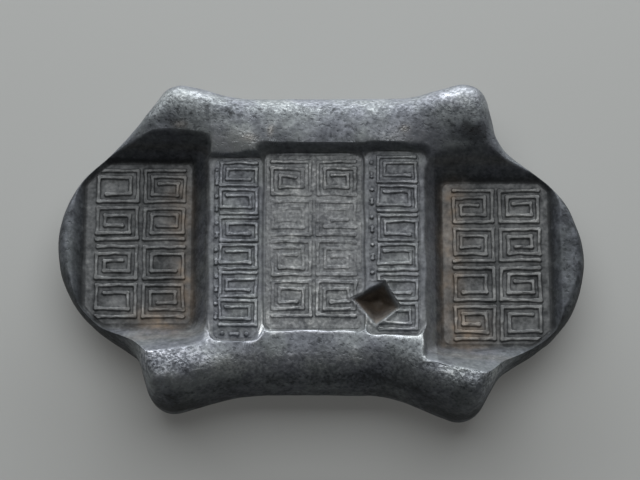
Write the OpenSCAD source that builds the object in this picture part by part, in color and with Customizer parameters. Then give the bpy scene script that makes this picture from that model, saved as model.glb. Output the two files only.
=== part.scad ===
// Packsaddle sycee: a cast silver ingot with five die-struck faces.
// The blank is lofted from its plan outline, then each die presses its trough into it
// and leaves a thin struck face in the floor. Millimetres, +Z up, +Y towards the rear.

/* [Plan] */
// Overall length, wing tip to wing tip
ingot_l = 66; // [62:0.5:74]
// Overall width across the horns
ingot_w = 43.2; // [40:0.2:48]
// Radius of each round wing
wing_r = 13.7; // [12.5:0.1:14.5]
// Shift of each wing towards the rear: left, right
wing_y = [0.7, -1.3]; // [-2.5:0.1:2.5]
// Distance of the horns from the middle, along the length
horn_x = 17.7; // [16:0.1:19]
// Radius of the horns in plan
horn_r = 3.5; // [3.3:0.1:4.5]
// Outward drift of each hand-formed horn along the length: rear right, rear left, front left, front right
horn_dx = [0.2, -0.1, 0.4, -0.8]; // [-1:0.1:1]
// Outward drift of each horn across the width, in the same order
horn_dy = [0, -0.2, -1.1, 0]; // [-1.5:0.1:0]
// How far the long sides draw in at the waist: rear, front
waist_in = [1.6, 3.2]; // [1:0.1:3.5]
// Inner radius where each horn runs into the waist, in the order of the horns
waist_r = [13, 13, 20, 14]; // [8:0.5:24]
// Inner radius of each neck between horn and wing: rear right, rear left, front left, front right
neck_r = [5, 12, 3.5, 4.5]; // [3:0.5:14]

/* [Heights] */
// Crest of the ridges at the waist
ridge_z = 11.9; // [11.5:0.1:14]
// How much higher the ridges stand at the horns
horn_rise = 1.1; // [0:0.1:2]
// Fall of the ridge from its crest to its inner foot
ridge_fall = 2; // [1.4:0.1:2.4]
// Stretch across the width over which the ridge falls
ridge_run = 6.4; // [5.5:0.1:7]
// Power of that fall: the higher, the flatter the ridge stays before it rolls down
ridge_bow = 3; // [2:0.5:4]
// Width of the ridge's roll, outline to crest
ridge_roll = 3; // [2:0.1:3.2]
// Crest of the rim round the wing tips
rim_z = 8.4; // [7.8:0.1:9]
// Width of the rim's roll, outline to crest
rim_roll = 1.1; // [0.6:0.1:2]
// Widest level of the sides, at the waist and at the wing tips
girth_z = [6, 5.2]; // [4.5:0.1:6.5]
// How far the sides draw in to the sole
sole_in = 2.4; // [1:0.1:4]
// Rise of the arch under the waist
arch_z = 2.2; // [0.5:0.1:3]
// Rise of the sole at the wing tips
toe_z = 1.6; // [0.5:0.1:3]
// Flat worn off the sole where the ingot stands
sole_wear = 0.25; // [0.1:0.05:0.5]

/* [Stamps] */
// Thickness of each struck face
stamp_t = 0.8; // [0.4:0.1:1.2]
// Clearance round the edge of each struck face
stamp_seam = 0.05; // [0.02:0.01:0.1]
// Corner radius of the dies
die_r = 0.9; // [0.5:0.1:1.5]
// Floor of the wing troughs
wing_floor_z = 6.6; // [6:0.1:7.2]
// Size of a wing die's face, along and across
wing_die = [13.6, 21.4]; // [12:0.1:23]
// Land between each wing tip and its die's face: left, right
wing_land = [3.4, 4.4]; // [3:0.1:5]
// Shift of each wing die towards the rear: left, right
wing_die_y = [0.9, -1.7]; // [-2:0.1:2]
// Draft of the left wing die's walls, degrees from upright: rear, front, ends
left_draft = [23, 37, 36]; // [20:1:45]
// Draft of the right wing die's walls, in the same order
right_draft = [35, 33, 36]; // [20:1:45]
// Least wall left outside a wing's struck face
wing_wall = 1.2; // [0.8:0.1:2]
// Floor of the centre trough
centre_floor_z = 9.2; // [8.8:0.1:9.5]
// Step up from the centre trough to the two columns beside it
column_step = 0.3; // [0.1:0.1:0.8]
// Width of the centre die
centre_die_w = 12.4; // [11:0.1:13]
// Middle of the centre die, along the length
centre_die_x = -0.9; // [-2:0.1:1]
// Length of the three upright dies: left column, centre, right column
upright_die_l = [23.7, 23.1, 23.9]; // [20:0.1:25]
// Shift of the three upright dies towards the rear, in the same order
upright_die_y = [-0.6, 0.4, 0.1]; // [-1.5:0.1:1.5]
// Land left between a column's struck face and its neighbours
column_land = 0.5; // [0.3:0.1:0.8]
// Draft of the upright dies' walls, degrees from upright: rear, front, sides
upright_draft = [14, 18, 30]; // [10:1:40]

/* [Test chop] */
// Side of the assayer's square punch at the surface
chop_w = 4.2; // [2:0.1:5]
// Depth of the punch mark
chop_d = 3.2; // [1.5:0.1:4]
// Side of the punch at its tip
chop_tip_w = 0.9; // [0.5:0.1:2]
// Middle of the punch mark, from the middle of the ingot
chop_at = [6.8, -7.5]; // [-8:0.1:8]
// Turn of the punch
chop_turn = 34; // [0:1:90]

/* [Hidden] */
$fn = 64;
cast_tone = "#5c6468";
struck_tone = "#6e6b66";

// Shortest straight between two arcs of the outline
tangent_l = 0.6;
// Segments in each arc of the outline
wing_steps = 22;
neck_steps = 5;
horn_steps = 8;
waist_steps = 5;
// Segments in the straight of the waist
straight_steps = 10;
// Turn between the rings of the loft, below and above the widest level
lower_turn = 22.5;
upper_turn = 15;
// Segments in each corner of a die
die_steps = 6;
// Rings inside the crest, each a share of the crest ring along and across
inner_rings = [[0.97, 0.92], [0.94, 0.84], [0.91, 0.76], [0.88, 0.66]];
// Stretch beyond the horns over which the ridges run down to the rim
ridge_end = [1, 8];
// Reach of a tool past the surface that it cuts
cut_past = 1;
// Reach of a column's die past the edge of the block
column_past = 0.3;

// Corners in the order rear right, rear left, front left, front right
corner = [[1, 1], [-1, 1], [-1, -1], [1, -1]];
top_z = ridge_z + horn_rise;

// Plan outline: a belt round fourteen circles, where a negative radius turns the belt inwards.
wing_c = [[ingot_l / 2 - wing_r, wing_y[1]], [wing_r - ingot_l / 2, wing_y[0]]];
horn_c = [for (i = [0:3]) [corner[i].x * (horn_x + horn_dx[i]),
                           corner[i].y * (ingot_w / 2 - horn_r + horn_dy[i])]];
function wing_of(i) = wing_c[corner[i].x > 0 ? 0 : 1];

// Point at distance a from p and b from q, on the given side of the line p to q
function meet(p, a, q, b, side) =
    let (d = norm(q - p), e = (q - p) / d, m = (a * a - b * b + d * d) / (2 * d))
    p + m * e + side * sqrt(a * a - m * m) * [e.y, -e.x];

neck_c = [for (i = [0:3]) meet(wing_of(i), wing_r + neck_r[i] + tangent_l,
                               horn_c[i], horn_r + neck_r[i] + tangent_l, corner[i].x * corner[i].y)];

waist_c = [for (i = [0:3])
    let (y = ingot_w / 2 - waist_in[corner[i].y > 0 ? 0 : 1] + waist_r[i], reach = horn_r + waist_r[i] + tangent_l,
         up = y - abs(horn_c[i].y))
    [horn_c[i].x - corner[i].x * sqrt(reach * reach - up * up), corner[i].y * y]];

// Each circle of the belt as [centre, radius, segments of its arc, segments of the straight after it]
function wing(i) = [wing_c[i], wing_r, wing_steps, 1];
function horn(i) = [horn_c[i], horn_r, horn_steps, 1];
function neck(i) = [neck_c[i], -neck_r[i], neck_steps, 1];
function waist(i, straight) = [waist_c[i], -waist_r[i], waist_steps, straight];

belt = [wing(0), neck(0), horn(0), waist(0, straight_steps), waist(1, 1), horn(1), neck(1),
        wing(1), neck(2), horn(2), waist(2, straight_steps), waist(3, 1), horn(3), neck(3)];
arcs = len(belt);

// Direction square to the tangent from one circle of the belt to the next
function tangent(i) =
    let (a = belt[i % arcs], b = belt[(i + 1) % arcs], d = b[0] - a[0])
    atan2(d.y, d.x) - acos((a[1] - b[1]) / norm(d));

function sweep(i) =
    let (from = tangent(i + arcs - 1), to = tangent(i))
    belt[i][1] > 0 ? (to - from + 720) % 360 : -((from - to + 720) % 360);

// The belt as [centre, radius, angle] rows, from the middle of the right wing and round by the rear
belt_rows = [for (i = [0:arcs - 1]) let (a = belt[i], b = belt[(i + 1) % arcs]) each concat(
    [for (k = [0:a[2]]) [a[0], a[1], tangent(i + arcs - 1) + sweep(i) * k / a[2]]],
    [for (k = [1:1:a[3] - 1]) [mix(a[0], b[0], k / a[3]), mix(a[1], b[1], k / a[3]), tangent(i)]])];
n = len(belt_rows);
rows = [for (i = [0:n - 1]) belt_rows[(i + wing_steps / 2) % n]];

function plan_point(i, inset) = rows[i][0] + (rows[i][1] - inset) * [cos(rows[i][2]), sin(rows[i][2])];
function plan(inset) = [for (i = [0:n - 1]) plan_point(i, inset)];

// Heights: s is the distance from the middle along the length, p a point of the plan
function blend(t) = let (u = max(0, min(1, t))) u * u * (3 - 2 * u);
function mix(a, b, t) = a + (b - a) * t;
function wing_share(s) = blend((s - horn_x - ridge_end[0]) / (ridge_end[1] - ridge_end[0]));
function corner_of(p) = p.y > 0 ? (p.x > 0 ? 0 : 1) : (p.x < 0 ? 2 : 3);
function crest_y(p, horn_share) =
    let (i = corner_of(p), waist_y = ingot_w / 2 - waist_in[corner[i].y > 0 ? 0 : 1],
         horn_y = abs(horn_c[i].y) + horn_r)
    mix(waist_y, horn_y, horn_share) - ridge_roll;
function ridge(p) =
    let (horn_share = blend(abs(p.x) / horn_x), t = (crest_y(p, horn_share) - abs(p.y)) / ridge_run)
    ridge_z + horn_rise * horn_share - ridge_fall * pow(max(0, min(1, t)), ridge_bow);
function crown_z(p) = mix(ridge(p), rim_z, wing_share(abs(p.x)));
function crest_in(s) = mix(ridge_roll, rim_roll, wing_share(s));
function girth(s) = mix(girth_z[0], girth_z[1], wing_share(s));
function sole_z(s) = s < horn_x
    ? arch_z * (1 + cos(180 * s / horn_x)) / 2 - sole_wear
    : toe_z * pow((s - horn_x) / (ingot_l / 2 - horn_x), 2) - sole_wear;

// Rings of the blank, from the sole up over the crest to the inner edge of the ridges
function lower_ring(turn) = [for (i = [0:n - 1])
    let (s = abs(plan_point(i, 0).x), p = plan_point(i, sole_in * (1 - sin(turn))))
    [p.x, p.y, mix(girth(s), sole_z(s), cos(turn))]];
function upper_ring(turn) = [for (i = [0:n - 1])
    let (s = abs(plan_point(i, 0).x), p = plan_point(i, crest_in(s) * (1 - cos(turn))))
    [p.x, p.y, mix(girth(s), crown_z(plan_point(i, crest_in(s))), sin(turn))]];
function inner_ring(share) = [for (i = [0:n - 1])
    let (q = plan_point(i, crest_in(abs(plan_point(i, 0).x))), p = [q.x * share[0], q.y * share[1]])
    [p.x, p.y, crown_z(p)]];

rings = [for (turn = [0:lower_turn:90]) lower_ring(turn),
         for (turn = [upper_turn:upper_turn:90]) upper_ring(turn),
         for (share = inner_rings) inner_ring(share)];

// Triangles that close a ring by rungs from its rear half to its front half
function ladder(at, flip) = [for (k = [0:n / 2 - 1])
    let (a = at + k, b = at + k + 1, c = at + n - k - 1, d = at + (n - k) % n)
    for (t = [if (k < n / 2 - 1) [a, b, c], if (k > 0) [a, c, d]])
    flip ? [t[2], t[1], t[0]] : t];

module blank() {
    last = len(rings) - 1;
    sides = [for (r = [0:last - 1]) for (i = [0:n - 1])
        let (a = r * n + i, b = r * n + (i + 1) % n, c = b + n, d = a + n)
        for (t = [[a, c, b], [a, d, c]]) t];
    polyhedron([for (ring = rings) each ring],
               concat(sides, ladder(0, false), ladder(last * n, true)));
}

// Dies, each given by the face that it strikes: [x from, x to, y from, y to]
wing_tip = ingot_l / 2 - wing_land[0];
left_face = [-wing_tip, wing_die.x - wing_tip,
             wing_die_y[0] - wing_die.y / 2, wing_die_y[0] + wing_die.y / 2];
right_tip = ingot_l / 2 - wing_land[1];
right_face = [right_tip - wing_die.x, right_tip,
              wing_die_y[1] - wing_die.y / 2, wing_die_y[1] + wing_die.y / 2];
column_floor_z = centre_floor_z + column_step;
block_h = column_floor_z - wing_floor_z;
block = [left_face[1] + block_h * tan(left_draft[2]), right_face[0] - block_h * tan(right_draft[2])];
centre = [centre_die_x - centre_die_w / 2, centre_die_x + centre_die_w / 2];
function upright(k, from, to) = [from, to, upright_die_y[k] - upright_die_l[k] / 2,
                                 upright_die_y[k] + upright_die_l[k] / 2];
left_column_face = upright(0, block[0] + column_land, centre[0] - column_land);
centre_face = upright(1, centre[0], centre[1]);
right_column_face = upright(2, centre[1] + column_land, block[1] - column_land);

// Outline of a die at a height above its face, opened by the draft of each wall
function die_ring(face, floor_z, draft, high) = [for (i = [0:3]) for (k = [0:die_steps])
    let (turn = 90 * (i + k / die_steps), q = corner[i],
         rx = die_r + high * tan(draft[2]), ry = die_r + high * tan(draft[q.y > 0 ? 0 : 1]))
    [(q.x > 0 ? face[1] - die_r : face[0] + die_r) + rx * cos(turn),
     (q.y > 0 ? face[3] - die_r : face[2] + die_r) + ry * sin(turn), floor_z + high]];

// The trough that a die leaves: its face, and walls that open upwards
module trough(face, floor_z, draft) {
    low = die_ring(face, floor_z, draft, 0);
    high = die_ring(face, floor_z, draft, top_z + cut_past - floor_z);
    m = len(low);
    walls = [for (i = [0:m - 1]) let (j = (i + 1) % m) for (t = [[i, j + m, j], [i, i + m, j + m]]) t];
    polyhedron(concat(low, high), concat(walls, [[for (i = [0:m - 1]) i], [for (i = [m - 1:-1:0]) m + i]]));
}

// A column's trough also takes the lands beside it, so that the block's top lies level
module column_trough(face, from, to) {
    trough([from, to, face[2], face[3]], column_floor_z, upright_draft);
}

module face_outline(face, grow) {
    r = die_r + grow;
    x = [face[0] - grow, face[1] + grow];
    y = [face[2] - grow, face[3] + grow];
    translate([x[0] + r, y[0]]) square([x[1] - x[0] - 2 * r, y[1] - y[0]]);
    translate([x[0], y[0] + r]) square([x[1] - x[0], y[1] - y[0] - 2 * r]);
    for (cx = [x[0] + r, x[1] - r]) for (cy = [y[0] + r, y[1] - r]) translate([cx, cy]) circle(r);
}

// A struck face, or with grow the seat that it lies in; high is what the seat's cut adds above
module wing_face(face, grow = 0, high = 0) {
    translate([0, 0, wing_floor_z - stamp_t]) linear_extrude(stamp_t + high) intersection() {
        face_outline(face, grow);
        polygon(plan(wing_wall - grow));
    }
}

module upright_face(face, floor_z, grow = 0, high = 0) {
    translate([0, 0, floor_z - stamp_t]) linear_extrude(stamp_t + high) face_outline(face, grow);
}

// The assayer's punch, four-sided and tapered to its tip
module chop() {
    above = top_z - centre_floor_z;
    flare = (chop_w - chop_tip_w) / chop_d;
    translate([chop_at.x, chop_at.y, centre_floor_z - chop_d]) rotate(chop_turn + 45)
        cylinder(chop_d + above, chop_tip_w / sqrt(2), (chop_w + above * flare) / sqrt(2), $fn = 4);
}

module cast_body() {
    color(cast_tone) difference() {
        blank();
        translate([-ingot_l, -ingot_w, -ingot_w]) cube([2 * ingot_l, 2 * ingot_w, ingot_w]);
        trough(left_face, wing_floor_z, left_draft);
        trough(right_face, wing_floor_z, right_draft);
        trough(centre_face, centre_floor_z, upright_draft);
        column_trough(left_column_face, block[0] - column_past, centre[0]);
        column_trough(right_column_face, centre[1], block[1] + column_past);
        wing_face(left_face, stamp_seam, cut_past);
        wing_face(right_face, stamp_seam, cut_past);
        upright_face(left_column_face, column_floor_z, stamp_seam, cut_past);
        upright_face(centre_face, centre_floor_z, stamp_seam, cut_past);
        upright_face(right_column_face, column_floor_z, stamp_seam, cut_past);
        chop();
    }
}

module left_wing_stamp() {
    color(struck_tone) wing_face(left_face);
}

module right_wing_stamp() {
    color(struck_tone) wing_face(right_face);
}

module left_column_stamp() {
    color(struck_tone) upright_face(left_column_face, column_floor_z);
}

module centre_stamp() {
    color(struck_tone) difference() {
        upright_face(centre_face, centre_floor_z);
        chop();
    }
}

module right_column_stamp() {
    color(struck_tone) difference() {
        upright_face(right_column_face, column_floor_z);
        chop();
    }
}

cast_body();
left_wing_stamp();
right_wing_stamp();
left_column_stamp();
centre_stamp();
right_column_stamp();
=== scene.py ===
import bpy
import numpy as np
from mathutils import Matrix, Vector


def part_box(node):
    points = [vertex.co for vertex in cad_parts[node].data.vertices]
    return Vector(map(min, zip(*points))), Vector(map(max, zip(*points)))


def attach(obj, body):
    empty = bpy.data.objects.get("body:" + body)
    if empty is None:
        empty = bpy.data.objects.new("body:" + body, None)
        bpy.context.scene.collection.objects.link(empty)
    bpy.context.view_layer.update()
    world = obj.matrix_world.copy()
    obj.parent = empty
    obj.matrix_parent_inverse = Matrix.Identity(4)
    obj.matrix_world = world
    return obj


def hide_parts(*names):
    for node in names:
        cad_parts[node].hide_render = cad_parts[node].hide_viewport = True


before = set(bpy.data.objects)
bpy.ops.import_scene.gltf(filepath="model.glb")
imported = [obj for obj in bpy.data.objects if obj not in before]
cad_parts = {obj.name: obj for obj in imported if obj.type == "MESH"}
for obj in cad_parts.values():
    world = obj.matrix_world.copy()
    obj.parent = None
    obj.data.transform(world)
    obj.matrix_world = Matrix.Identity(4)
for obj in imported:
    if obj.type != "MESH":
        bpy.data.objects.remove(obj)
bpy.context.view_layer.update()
mm = 0.001  # shapes are worked out in millimetres and stored in metres
tiny = 1e-9  # keeps a quotient finite
farOff = 99.0  # a distance longer than any on the object
print("frame loaded:", ", ".join(sorted(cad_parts)))


def nodeBox(name):  # lowest and highest corner of a CAD node, in millimetres
    low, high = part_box(name)
    return np.array(low) / mm, np.array(high) / mm


def mix(a, b, t):
    return a + (b - a) * t


def ease(t):  # nought to one along a smooth step
    t = np.clip(t, 0, 1)
    return t * t * (3 - 2 * t)


def fromTo(t, start, end):  # the same while t goes from start to end
    return ease((t - start) / (end - start))


def hump(d, width):  # one at d = 0, fading on both sides
    return np.exp(-((d / width) ** 2))


def softMin(a, b, reach):  # the lower of two heights, rounded where they cross
    return np.minimum(a, b) - np.clip(reach - np.abs(a - b), 0, None) ** 2 / (4 * reach)


def softFoot(h, reach):  # height of a wall above its floor, with a fillet at the foot
    return np.where(h > reach, h, np.clip(h + reach, 0, None) ** 2 / (4 * reach))


hashKeys = np.array([73856093, 19349663, 83492791])
hashSize = 4096


def cloud(p, size, seed):
    # Value noise from -1 to 1: random heights at the corners of a turned lattice, eased between them.
    dice = np.random.default_rng(seed)
    turn = np.linalg.qr(dice.normal(size=(3, 3)))[0]
    heights = dice.uniform(-1, 1, hashSize)
    q = p @ turn / size
    cell = np.floor(q).astype(np.int64)
    share = ease(q - cell)
    total = np.zeros(p.shape[:-1])
    for corner in np.ndindex(2, 2, 2):
        key = np.bitwise_xor.reduce((cell + corner) * hashKeys, axis=-1) & (hashSize - 1)
        total += heights[key] * np.prod(np.where(corner, share, 1 - share), axis=-1)
    return total


def layers(p, parts, seed):  # noise of several amounts and sizes added up, each with the next seed
    return sum(amount * cloud(p, size, seed + k) for k, (amount, size) in enumerate(parts))


def flat(x, y):  # points of the plan, for noise that doesn't change with height
    return np.stack(np.broadcast_arrays(x, y, 0.0 * x), axis=-1)


def fromStretch(x, y, x0, y0, x1, y1):  # distance in the plan from a straight stretch, and place along it
    dx, dy = x1 - x0, y1 - y0
    t = np.clip(((x - x0) * dx + (y - y0) * dy) / (dx * dx + dy * dy + tiny), 0, 1)
    return np.hypot(x - x0 - t * dx, y - y0 - t * dy), t


def outOf(t, low, high):  # distance past a span, below nought inside it
    return np.maximum(t - high, low - t)


def tangent(degrees):
    return np.tan(np.radians(degrees))


def resample(places, s, rows):  # rows of numbers that are known at s, read at other places
    return np.stack([np.interp(places, s, row) for row in rows.T], 1)


# Plan outline

bodyLow, bodyHigh = nodeBox("cast_body")
halfL, halfW = (bodyHigh - bodyLow)[:2] / 2

plan = {
    "wingR": 13.7,  # round wings
    "wingY": (-1.3, 0.7),  # their shift to the rear: right, left
    "hornX": 17.7,
    "hornR": 3.5,
    "hornDx": (0.2, -0.1, 0.4, -0.8),  # drift outwards: rear right, rear left, front left, front right
    "hornDy": (0.0, -0.2, -1.1, 0.0),
    "waistIn": (1.6, 3.2),  # how far the long sides draw in: rear, front
    "waistR": (13, 13, 20, 14),  # at each horn, in the same order
    "neckR": (5, 12, 3.5, 4.5),
    "tangentL": 0.6,  # gap between neighbouring circles, for the straight stretch
    "arcSteps": 240,
}
corners = np.array([[1, 1], [-1, 1], [-1, -1], [1, -1]])
wingC = np.array([[halfL - plan["wingR"], plan["wingY"][0]], [plan["wingR"] - halfL, plan["wingY"][1]]])
hornDrift = np.stack([plan["hornDx"], plan["hornDy"]], 1)
hornC = corners * (np.array([plan["hornX"], halfW - plan["hornR"]]) + hornDrift)


def meetingPoint(p, a, q, b, side):  # at distance a from p and b from q, to one side of them
    d = np.linalg.norm(q - p)
    e = (q - p) / d
    m = (a * a - b * b + d * d) / (2 * d)
    return p + m * e + side * np.sqrt(a * a - m * m) * np.array([e[1], -e[0]])


def beltOutline():
    # A belt round fourteen circles. Each arc runs between the tangents that it shares with its neighbours,
    # and a circle of negative radius bends the belt inwards. Gives points and normals, anticlockwise.
    gap = plan["tangentL"]
    necks, waists = [], []
    for (cx, cy), horn, neckR, waistR in zip(corners, hornC, plan["neckR"], plan["waistR"]):
        wing = wingC[int(cx < 0)]
        toWing, toHorn = plan["wingR"] + neckR + gap, plan["hornR"] + neckR + gap
        necks.append(meetingPoint(wing, toWing, horn, toHorn, cx * cy))
        y = halfW - plan["waistIn"][int(cy < 0)] + waistR
        reach = plan["hornR"] + waistR + gap
        waists.append([horn[0] - cx * np.sqrt(reach**2 - (y - abs(horn[1])) ** 2), cy * y])
    order = [("wing", 0), ("neck", 0), ("horn", 0), ("waist", 0), ("waist", 1), ("horn", 1), ("neck", 1),
             ("wing", 1), ("neck", 2), ("horn", 2), ("waist", 2), ("waist", 3), ("horn", 3), ("neck", 3)]
    centreOf = {"wing": wingC, "neck": necks, "horn": hornC, "waist": waists}
    radiusOf = {"wing": [plan["wingR"]] * 2, "neck": [-r for r in plan["neckR"]],
                "horn": [plan["hornR"]] * 4, "waist": [-r for r in plan["waistR"]]}
    centre = np.array([centreOf[kind][i] for kind, i in order])
    radius = np.array([radiusOf[kind][i] for kind, i in order])
    step = np.roll(centre, -1, 0) - centre
    lean = np.arccos((radius - np.roll(radius, -1)) / np.linalg.norm(step, axis=1))
    to = np.arctan2(step[:, 1], step[:, 0]) - lean
    start = np.roll(to, 1)
    sweep = np.where(radius > 0, (to - start) % (2 * np.pi), -((start - to) % (2 * np.pi)))
    angle = start[:, None] + sweep[:, None] * np.linspace(0, 1, plan["arcSteps"] + 1)
    normal = np.stack([np.cos(angle), np.sin(angle)], axis=-1)
    points = centre[:, None] + radius[:, None, None] * normal
    return points.reshape(-1, 2), normal.reshape(-1, 2)


beltPoints, beltNormals = beltOutline()
print("outline:", len(beltPoints), "points")

# Blank: the poured shape before the dies

blank = {
    "ridgeZ": 11.9,  # crest of the ridges at the waist
    "hornRise": 1.1,  # how much higher they stand at the horns
    "ridgeFall": 1.7,  # how far the ridge falls over its run towards the middle
    "ridgeRun": (5.2, 6.4),  # waist, horns
    "shoulder": (11.5, 3.5),  # x and reach of a further fall beside the middle
    "shoulderFall": 0.8,
    "ridgeBow": 2.4,  # the higher, the flatter the ridge stays before it rolls down
    "middleZ": 9.7,  # between the ridges
    "ridgeRoll": (4.8, 3.1),  # outline to crest: waist, horns, where it stays inside the round
    "rollFrom": 6.0,  # x where it begins to narrow
    "sideRoll": (0.85, 0.3),  # what is left of it on the sides of the horns: rear, front
    "sideTurn": (0.3, 0.9),  # how far the outline faces sideways where that begins and ends
    "ridgeEnd": (2.8, 8.8),  # stretch past the horns where the ridge runs down to the rim
    "rimZ": 8.4,
    "rimRoll": 1.1,
    "girthZ": (6.0, 5.2),  # widest level: waist, wing tips
    "soleIn": 2.4,  # outline to the edge of the sole
    "archZ": 2.2,
    "toeZ": 1.6,
    "soleWear": 0.25,
}


def wingShare(s):
    return fromTo(s - plan["hornX"], *blank["ridgeEnd"])


def ridgeRoll(s):
    return mix(*blank["ridgeRoll"], fromTo(s, blank["rollFrom"], plan["hornX"]))


def crownZ(p):
    # Ridge: crest height less a fall towards the middle, a power of the distance from the crest line. Past
    # the horns the ridge eases down to the rim of the wing.
    x, y = p[..., 0], p[..., 1]
    hornShare = ease(np.abs(x) / plan["hornX"])
    corner = np.where(y > 0, np.where(x > 0, 0, 1), np.where(x < 0, 2, 3))
    waistY = halfW - np.where(y > 0, *plan["waistIn"])
    hornY = (np.abs(hornC[:, 1]) + plan["hornR"])[corner]
    crestY = mix(waistY, hornY, hornShare) - ridgeRoll(np.abs(x))
    run = np.clip(crestY - np.abs(y), 0, None) / mix(*blank["ridgeRun"], hornShare)
    at, reach = blank["shoulder"]
    fall = blank["ridgeFall"] + blank["shoulderFall"] * hump(np.abs(x) - at, reach)
    ridge = blank["ridgeZ"] + blank["hornRise"] * hornShare - fall * run ** blank["ridgeBow"]
    return mix(np.maximum(ridge, blank["middleZ"]), blank["rimZ"], wingShare(np.abs(x)))


def soleZ(s):
    # Arch under the waist on a cosine, toes that rise with the square of the distance, feet worn flat.
    arch = blank["archZ"] * (1 + np.cos(np.pi * s / plan["hornX"])) / 2
    toe = blank["toeZ"] * ((s - plan["hornX"]) / (halfL - plan["hornX"])) ** 2
    return np.maximum(np.where(s < plan["hornX"], arch, toe) - blank["soleWear"], 0)


# Dies: what each one presses into the blank

dies = {
    # draft of the rear wall, front wall and ends, in degrees; fillet at the foot
    # wings: which one; how much the front wall opens per millimetre outwards; how round the corners are
    "left_wing_stamp": {"draft": (23, 34, 36), "foot": 0.26, "wing": 1, "flare": 0.02, "round": 0.8},
    "right_wing_stamp": {"draft": (35, 31, 36), "foot": 0.26, "wing": 0, "flare": 0.035, "round": 0.35},
    # upright dies: level strip beside the face, left and right
    "left_column_stamp": {"draft": (14, 18, 30), "foot": 0.13, "past": (0.8, 0.3)},
    "centre_stamp": {"draft": (14, 18, 30), "foot": 0.13, "past": (0, 0)},
    "right_column_stamp": {"draft": (14, 18, 30), "foot": 0.13, "past": (0.3, 0.8)},
}
for name, die in dies.items():
    low, high = nodeBox(name)
    die["x"], die["y"], die["z"] = (low[0], high[0]), (low[1], high[1]), high[2]

strike = {
    "cornerR": 0.9,  # corners of the wing dies and of the struck faces
    "upright": 3.0,  # what the wings' end walls gain in steepness above the columns' level
    "flareFrom": 14.0,  # x where the wings' front walls begin to open
    "flareRun": 9.0,  # how far they go on opening
    "lipWall": 0.7,  # lip that the wing dies leave along the outline
    "lipDraft": 33,
    "lipBlend": 0.4,  # rounding where it meets the other walls
    "columnR": 0.8,  # corners of the upright dies
    "frontDraft": 12,  # of their sides near the front ends
    "stripFrom": (0.3, 1.7),  # behind the front end, where the strips begin and have their full width
    "edgeReach": 0.12,  # worn rounding where a wall comes out at the top
    "lipReach": 0.7,  # the same on the wings' outer lips, which hands and tables have worn
    "lipX": (21, 27),  # where the first goes over into the second
    "seat": 0.02,  # the body lies this much below the struck faces
    "wander": 0.13,  # how far the hand-struck walls stray from straight
    "wanderSize": 2.6,
    # metal left standing at the left column's front corners: x, y to x, y
    "fins": ((-7.5, -12.6, -7.4, -10.6), (-14.1, -12.8, -13.9, -11.6)),
    "finZ": (10.9, 9.5),
    "finSlope": 1.3,
    "finBlend": 0.2,
    "finBright": 0.35,  # width of the worn metal along them
    "finFoot": 9.3,  # and how far down that reaches
}

chop = {
    "corners": ((9.55, -8.25), (7.75, -5.05), (3.95, -7.05), (6.75, -10.45)),  # right, rear, left, front
    "depth": 2.4,
    "slopes": (2.4, 2.6, 1.3, 1.15),  # of the flanks from each corner to the next
    "outside": 6,  # times as steep outside the mark, where it cuts nothing
    "edge": 0.14,  # rounding of its upper edge
    "rough": 0.2,
    "roughSize": 0.8,
    "burr": 0.12,  # raised metal round the mark
    "burrOff": 0.24,  # its middle, outside the sides
    "burrWidth": 0.3,
    "burrTop": 0.8,  # there is none higher than this above the struck faces
}
chopCorners = np.array(chop["corners"])
chopMiddle = chopCorners.mean(axis=0)


def roundBox(outX, outY, r):  # distance past a rectangle with round corners, from those past its sides
    corner = np.hypot(np.maximum(outX + r, 0), np.maximum(outY + r, 0)) - r
    return corner + np.minimum(np.maximum(outX, outY) + r, 0)


def wingWall(die, x, y):
    # The greatest of the heights of the sides' walls, with corners between sharp and round, and of the
    # wall along a circle inside the outline. The end walls turn upright above the level of the columns.
    rear, front, ends = tangent(die["draft"])
    front = front + die["flare"] * np.clip(np.abs(x) - strike["flareFrom"], 0, strike["flareRun"])
    wallX = outOf(x, *die["x"]) / ends
    wallY = np.maximum((y - die["y"][1]) / rear, (die["y"][0] - y) / front)
    above = np.clip(wallX - (dies["left_column_stamp"]["z"] - die["z"]), 0, None)
    wallX = wallX + strike["upright"] * above
    r = strike["cornerR"]
    wall = mix(-softMin(-wallX, -wallY, r), roundBox(wallX, wallY, r), die["round"])
    cx, cy = wingC[die["wing"]]
    lip = np.hypot(x - cx, y - cy) - plan["wingR"] + strike["lipWall"]
    return -softMin(-wall, -lip / tangent(strike["lipDraft"]), strike["lipBlend"])


def columnWall(die, x, y):
    # The distance past a rectangle with round corners, over the tangent of the draft there. The rectangle
    # has its full width from a little behind the front end, and its sides are steeper before that.
    rear, front, ends = tangent(die["draft"])
    full = fromTo(y - die["y"][0], *strike["stripFrom"])
    ends = mix(tangent(strike["frontDraft"]), ends, full)
    pastLeft, pastRight = (past * full for past in die["past"])
    outX = outOf(x, die["x"][0] - pastLeft, die["x"][1] + pastRight)
    outY = outOf(y, *die["y"])
    r = strike["columnR"]
    nearX, nearY = np.maximum(outX + r, 0), np.maximum(outY + r, 0)
    shareY = nearY**2 / (nearX**2 + nearY**2 + tiny)
    return roundBox(outX, outY, r) / mix(ends, np.where(y > 0, rear, front), shareY)


def dieZ(die, x, y):  # the floor of a die, and its wall with a fillet at the foot
    wall = wingWall if "wing" in die else columnWall
    return die["z"] - strike["seat"] + softFoot(wall(die, x, y), die["foot"])


def chopInside(x, y):  # distances inside the four sides of the punch mark
    sides = []
    for (x0, y0), (x1, y1) in zip(chopCorners, np.roll(chopCorners, -1, 0)):
        sides.append(((x1 - x0) * (y - y0) - (y1 - y0) * (x - x0)) / np.hypot(x1 - x0, y1 - y0))
    return sides


def chopOut(x, y):  # distance outside the punch mark, below nought in it
    return -np.min(chopInside(x, y), axis=0)


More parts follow.
